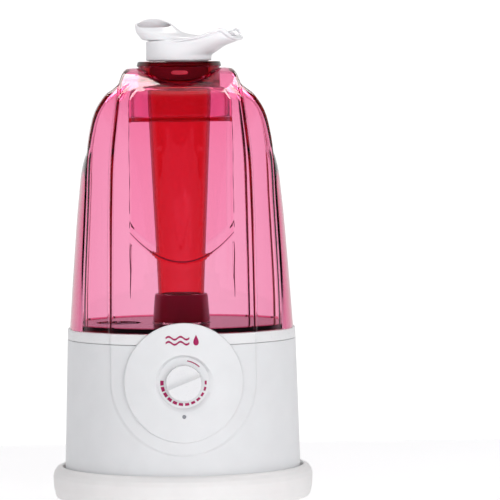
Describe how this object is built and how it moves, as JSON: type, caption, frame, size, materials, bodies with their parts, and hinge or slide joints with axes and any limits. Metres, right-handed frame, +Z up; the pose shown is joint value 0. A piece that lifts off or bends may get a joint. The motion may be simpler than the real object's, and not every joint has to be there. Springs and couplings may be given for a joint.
{
  "type": "cool mist humidifier",
  "caption": "Ultrasonic cool mist humidifier: oval white base with a mist dial, a tinted lift-off water tank with a chimney through it, and swivelling mist outlets on top.",
  "frame": {"origin": "on the floor, at the centre of the oval plinth", "axes": "+Z up, the dial faces -Y, +X to the right of someone facing the dial"},
  "size_m": [0.2028, 0.1888, 0.3749],
  "materials": {
    "white_shell": "satin white moulded shell",
    "plinth_white": "satin warm white moulding",
    "knob_white": "satin white moulding",
    "outlet_white": "thin white moulding, slightly translucent",
    "tank_tint": "clear raspberry tinted, polished",
    "chimney_tint": "clear deep red tinted, polished",
    "tank_dark": "deep raspberry tinted, polished",
    "grey_plastic": "light grey moulding",
    "black_plastic": "black moulding",
    "rubber": "matt elastomer",
    "steel": "plated",
    "aluminium": "cast, satin",
    "board": "green solder mask",
    "brass": "plain",
    "led": "smoked grey lens"
  },
  "bodies": {
    "base": {"plinth": "plinth_white", "rubber_foot_1": "rubber", "rubber_foot_2": "rubber", "rubber_foot_3": "rubber", "rubber_foot_4": "rubber", "base_screw_1": "steel", "base_screw_2": "steel", "base_screw_3": "steel", "base_screw_4": "steel", "base_housing": "white_shell", "front_disc": "white_shell", "dial_dish": "white_shell", "led_lens": "led", "led_holder": "black_plastic", "potentiometer": "grey_plastic", "potentiometer_nut": "steel", "air_grille": "white_shell", "lead_gland": "rubber", "water_basin": "white_shell", "mist_tower": "grey_plastic", "transducer_seal": "rubber", "transducer_disc": "brass", "transducer_holder": "aluminium", "float_post": "grey_plastic", "float_clip": "grey_plastic", "float_switch": "black_plastic", "fan_frame": "black_plastic", "air_duct": "grey_plastic", "drive_board": "board", "board_pillar_1": "grey_plastic", "board_pillar_2": "grey_plastic", "board_pillar_3": "grey_plastic", "board_pillar_4": "grey_plastic", "power_module": "black_plastic", "capacitor": "black_plastic", "heat_sink": "aluminium", "valve_post": "grey_plastic"},
    "knob_body": {"knob": "knob_white", "knob_shaft": "brass"},
    "fan": {"fan_impeller": "black_plastic"},
    "float_body": {"float": "grey_plastic"},
    "tank": {"tank_shell": "tank_tint", "tank_floor": "tank_dark", "chimney_tube": "chimney_tint", "chimney_seal": "rubber", "tank_collar": "tank_dark", "collar_lid": "tank_dark"},
    "cap": {"tank_cap": "grey_plastic", "cap_gasket": "rubber", "valve_spring": "steel"},
    "valve": {"valve_stem": "grey_plastic", "valve_seal": "rubber"},
    "lower_nozzle": {"outlet_lower": "outlet_white"},
    "upper_nozzle": {"outlet_upper": "outlet_white"}
  },
  "joints": [
    {"name": "tank_lift", "type": "slide", "parent": "base", "child": "tank", "axis": [0, 0, 1], "range_m": [0, 0.08]},
    {"name": "knob_turn", "type": "hinge", "parent": "base", "child": "knob_body", "pos_m": [0, -0.088, 0.098], "axis": [0, 1, 0], "range_deg": [-223, 22]},
    {"name": "fan_spin", "type": "hinge", "parent": "base", "child": "fan", "pos_m": [0, 0.038, 0.07], "axis": [0, 0, 1], "continuous": true},
    {"name": "float_rise", "type": "slide", "parent": "base", "child": "float_body", "axis": [0, 0, 1], "range_m": [0, 0.008]},
    {"name": "cap_turn", "type": "hinge", "parent": "tank", "child": "cap", "pos_m": [-0.049, 0, 0.127], "axis": [0, 0, 1], "range_deg": [0, 120]},
    {"name": "valve_slide", "type": "slide", "parent": "cap", "child": "valve", "axis": [0, 0, 1], "range_m": [-0.004, 0], "deforming": ["valve_spring"]},
    {"name": "lower_swivel", "type": "hinge", "parent": "tank", "child": "lower_nozzle", "pos_m": [0, 0, 0.345], "axis": [0, 0, 1], "continuous": true},
    {"name": "upper_swivel", "type": "hinge", "parent": "lower_nozzle", "child": "upper_nozzle", "pos_m": [0, 0, 0.357], "axis": [0, 0, 1], "range_deg": [-70, 30]}
  ],
  "couplings": [
    {"joint": "valve_slide", "follows": "tank_lift", "ratio": -0.05}
  ]
}
